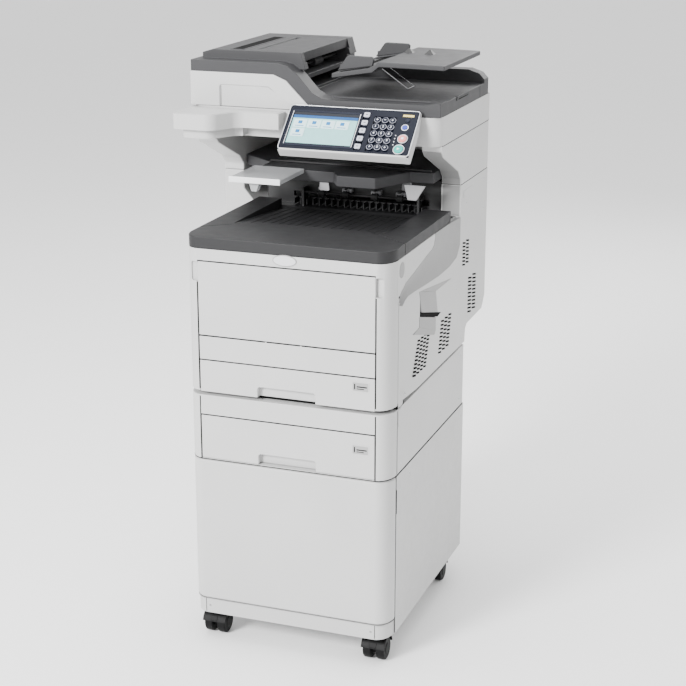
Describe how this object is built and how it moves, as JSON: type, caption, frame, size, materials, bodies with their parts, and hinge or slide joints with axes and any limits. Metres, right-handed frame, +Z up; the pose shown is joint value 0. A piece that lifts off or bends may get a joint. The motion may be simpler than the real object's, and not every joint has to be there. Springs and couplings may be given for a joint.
{
  "type": "photocopier",
  "caption": "Tall colour office copier with scanner, document feeder, tilting touch panel, output tray, paper drawers and a wheeled storage cabinet.",
  "frame": {"origin": "centre of the whole box, on the floor", "axes": "+X to the machine's right as a user faces it, +Y to the back, +Z up; the front faces -Y"},
  "size_m": [0.5632, 0.6736, 1.235],
  "materials": {
    "white_plastic": "fine-textured moulded plastic",
    "grey_plastic": "moulded plastic",
    "charcoal_plastic": "fine-textured moulded plastic",
    "black_plastic": "moulded plastic",
    "navy_panel": "glossy panel",
    "black_rubber": "matt rubber",
    "bright_steel": "plated steel",
    "white_enamel": "powder-coated sheet steel",
    "smoked_clear": "clear moulded plastic",
    "glass": "flat glass",
    "screen_glass": "lit screen behind glass",
    "key_grey": "moulded keys",
    "start_teal": "translucent key",
    "stop_pink": "translucent key"
  },
  "bodies": {
    "root": {"cabinet_floor": "white_enamel", "cabinet_top": "white_enamel", "cabinet_back": "white_enamel", "cabinet_side_left": "white_enamel", "cabinet_side_right": "white_enamel", "tray_2_housing": "white_plastic", "engine_frame": "bright_steel", "lower_front_strip": "white_plastic", "transfer_belt_unit": "black_plastic", "fuser_unit": "grey_plastic", "toner_drum_yellow": "black_plastic", "toner_drum_magenta": "black_plastic", "toner_drum_cyan": "black_plastic", "toner_drum_black": "black_plastic", "side_cover_right": "white_plastic", "side_cover_left": "white_plastic", "left_column_foot": "white_plastic", "left_column": "white_plastic", "right_column": "white_plastic", "rear_cover": "white_plastic", "paper_exit_unit": "black_plastic", "finisher_deck": "charcoal_plastic", "staple_tray": "smoked_clear", "scanner_base": "white_plastic", "platen_glass": "glass"},
    "caster_front_left_fork": {"caster_front_left_fork": "black_plastic"},
    "caster_front_left_wheels": {"caster_front_left_wheels": "black_rubber"},
    "caster_front_right_fork": {"caster_front_right_fork": "black_plastic"},
    "caster_front_right_wheels": {"caster_front_right_wheels": "black_rubber"},
    "caster_rear_left_fork": {"caster_rear_left_fork": "black_plastic"},
    "caster_rear_left_wheels": {"caster_rear_left_wheels": "black_rubber"},
    "caster_rear_right_fork": {"caster_rear_right_fork": "black_plastic"},
    "caster_rear_right_wheels": {"caster_rear_right_wheels": "black_rubber"},
    "cabinet_door": {"cabinet_door": "white_plastic"},
    "drawer_1": {"drawer_1_tray": "white_plastic", "drawer_1_front": "white_plastic"},
    "drawer_1_lift_plate": {"drawer_1_lift_plate": "bright_steel"},
    "drawer_2": {"drawer_2_tray": "white_plastic", "drawer_2_front": "white_plastic"},
    "drawer_2_lift_plate": {"drawer_2_lift_plate": "bright_steel"},
    "tray_1_feed_roller": {"tray_1_feed_roller": "black_rubber"},
    "tray_2_feed_roller": {"tray_2_feed_roller": "black_rubber"},
    "front_cover": {"front_cover": "white_plastic", "front_cover_cap": "charcoal_plastic"},
    "bypass_tray_door": {"bypass_tray_door": "white_plastic"},
    "output_tray_cover": {"output_tray_cover": "charcoal_plastic"},
    "exit_roller_shaft": {"exit_roller_shaft": "bright_steel"},
    "scan_carriage": {"scan_carriage": "black_plastic"},
    "document_lid": {"document_lid": "charcoal_plastic"},
    "feeder_cover": {"feeder_cover": "charcoal_plastic"},
    "feeder_pickup_roller": {"feeder_pickup_roller": "black_rubber"},
    "document_tray": {"document_tray": "charcoal_plastic"},
    "document_guide_front": {"document_guide_front": "grey_plastic"},
    "document_guide_rear": {"document_guide_rear": "grey_plastic"},
    "control_panel": {"control_panel": "navy_panel", "touch_screen": "screen_glass"},
    "start_button": {"start_button": "start_teal"},
    "stop_button": {"stop_button": "stop_pink"},
    "number_keys": {"number_keys": "navy_panel"},
    "function_keys": {"function_keys": "key_grey"}
  },
  "joints": [
    {"name": "caster_front_left_swivel", "type": "hinge", "parent": "root", "child": "caster_front_left_fork", "pos_m": [-0.1341, -0.2748, 0.0615], "axis": [0, 0, 1], "continuous": true},
    {"name": "caster_front_left_spin", "type": "hinge", "parent": "caster_front_left_fork", "child": "caster_front_left_wheels", "pos_m": [-0.1341, -0.2918, 0.025], "axis": [1, 0, 0], "continuous": true},
    {"name": "caster_front_right_swivel", "type": "hinge", "parent": "root", "child": "caster_front_right_fork", "pos_m": [0.2329, -0.2748, 0.0615], "axis": [0, 0, 1], "continuous": true},
    {"name": "caster_front_right_spin", "type": "hinge", "parent": "caster_front_right_fork", "child": "caster_front_right_wheels", "pos_m": [0.2329, -0.2918, 0.025], "axis": [1, 0, 0], "continuous": true},
    {"name": "caster_rear_left_swivel", "type": "hinge", "parent": "root", "child": "caster_rear_left_fork", "pos_m": [-0.1341, 0.1412, 0.0615], "axis": [0, 0, 1], "continuous": true},
    {"name": "caster_rear_left_spin", "type": "hinge", "parent": "caster_rear_left_fork", "child": "caster_rear_left_wheels", "pos_m": [-0.1341, 0.1242, 0.025], "axis": [1, 0, 0], "continuous": true},
    {"name": "caster_rear_right_swivel", "type": "hinge", "parent": "root", "child": "caster_rear_right_fork", "pos_m": [0.2329, 0.1412, 0.0615], "axis": [0, 0, 1], "continuous": true},
    {"name": "caster_rear_right_spin", "type": "hinge", "parent": "caster_rear_right_fork", "child": "caster_rear_right_wheels", "pos_m": [0.2329, 0.1242, 0.025], "axis": [1, 0, 0], "continuous": true},
    {"name": "cabinet_door_hinge", "type": "hinge", "parent": "root", "child": "cabinet_door", "pos_m": [-0.1741, -0.2923, 0.25], "axis": [0, 0, 1], "range_deg": [-110, 0]},
    {"name": "drawer_1_slide", "type": "slide", "parent": "root", "child": "drawer_1", "axis": [0, 1, 0], "range_m": [-0.35, 0]},
    {"name": "drawer_1_lift", "type": "hinge", "parent": "drawer_1", "child": "drawer_1_lift_plate", "pos_m": [0.0494, -0.0368, 0.5763], "axis": [-1, 0, 0], "range_deg": [0, 7]},
    {"name": "drawer_2_slide", "type": "slide", "parent": "root", "child": "drawer_2", "axis": [0, 1, 0], "range_m": [-0.35, 0]},
    {"name": "drawer_2_lift", "type": "hinge", "parent": "drawer_2", "child": "drawer_2_lift_plate", "pos_m": [0.0494, -0.0368, 0.4293], "axis": [-1, 0, 0], "range_deg": [0, 7]},
    {"name": "tray_1_feed", "type": "hinge", "parent": "root", "child": "tray_1_feed_roller", "pos_m": [0.0494, -0.2518, 0.6485], "axis": [1, 0, 0], "continuous": true},
    {"name": "tray_2_feed", "type": "hinge", "parent": "root", "child": "tray_2_feed_roller", "pos_m": [0.0494, -0.2518, 0.5345], "axis": [1, 0, 0], "continuous": true},
    {"name": "front_cover_hinge", "type": "hinge", "parent": "root", "child": "front_cover", "pos_m": [0.0494, -0.3248, 0.574], "axis": [1, 0, 0], "range_deg": [0, 34]},
    {"name": "bypass_tray_hinge", "type": "hinge", "parent": "front_cover", "child": "bypass_tray_door", "pos_m": [0.0494, -0.3333, 0.7035], "axis": [-1, 0, 0], "range_deg": [-83, 0]},
    {"name": "output_cover_hinge", "type": "hinge", "parent": "root", "child": "output_tray_cover", "pos_m": [0.0494, 0.0632, 0.88], "axis": [-1, 0, 0], "range_deg": [0, 12]},
    {"name": "exit_roller_spin", "type": "hinge", "parent": "root", "child": "exit_roller_shaft", "pos_m": [0.0494, 0.0982, 0.912], "axis": [1, 0, 0], "continuous": true},
    {"name": "scan_carriage_slide", "type": "slide", "parent": "root", "child": "scan_carriage", "axis": [1, 0, 0], "range_m": [0, 0.43]},
    {"name": "document_lid_hinge", "type": "hinge", "parent": "root", "child": "document_lid", "pos_m": [0.0494, 0.3252, 1.1194], "axis": [-1, 0, 0], "range_deg": [0, 60]},
    {"name": "feeder_cover_hinge", "type": "hinge", "parent": "document_lid", "child": "feeder_cover", "pos_m": [-0.1651, 0.1392, 1.2345], "axis": [0, -1, 0], "range_deg": [0, 70]},
    {"name": "feeder_pickup_spin", "type": "hinge", "parent": "document_lid", "child": "feeder_pickup_roller", "pos_m": [-0.0656, 0.1392, 1.2], "axis": [0, 1, 0], "continuous": true},
    {"name": "document_tray_hinge", "type": "hinge", "parent": "document_lid", "child": "document_tray", "pos_m": [0.0274, 0.1532, 1.188], "axis": [0, -1, 0], "range_deg": [0, 35]},
    {"name": "document_guide_front_slide", "type": "slide", "parent": "document_tray", "child": "document_guide_front", "axis": [0, 1, 0], "range_m": [0, 0.09]},
    {"name": "document_guide_rear_slide", "type": "slide", "parent": "document_tray", "child": "document_guide_rear", "axis": [0, 1, 0], "range_m": [-0.09, 0]},
    {"name": "control_panel_tilt", "type": "hinge", "parent": "root", "child": "control_panel", "pos_m": [0.0991, -0.0693, 1.083], "axis": [1, 0, 0], "range_deg": [0, 15]},
    {"name": "start_button_press", "type": "slide", "parent": "control_panel", "child": "start_button", "axis": [0, 0.6794, -0.7337], "range_m": [0, 0.0012], "stiffness_N_per_m": 400},
    {"name": "stop_button_press", "type": "slide", "parent": "control_panel", "child": "stop_button", "axis": [0, 0.6794, -0.7337], "range_m": [0, 0.0012], "stiffness_N_per_m": 400},
    {"name": "number_keys_press", "type": "slide", "parent": "control_panel", "child": "number_keys", "axis": [0, 0.6794, -0.7337], "range_m": [0, 0.0012], "stiffness_N_per_m": 400},
    {"name": "function_keys_press", "type": "slide", "parent": "control_panel", "child": "function_keys", "axis": [0, 0.6794, -0.7337], "range_m": [0, 0.0012], "stiffness_N_per_m": 400}
  ],
  "couplings": [
    {"joint": "document_guide_rear_slide", "follows": "document_guide_front_slide", "ratio": -1}
  ]
}
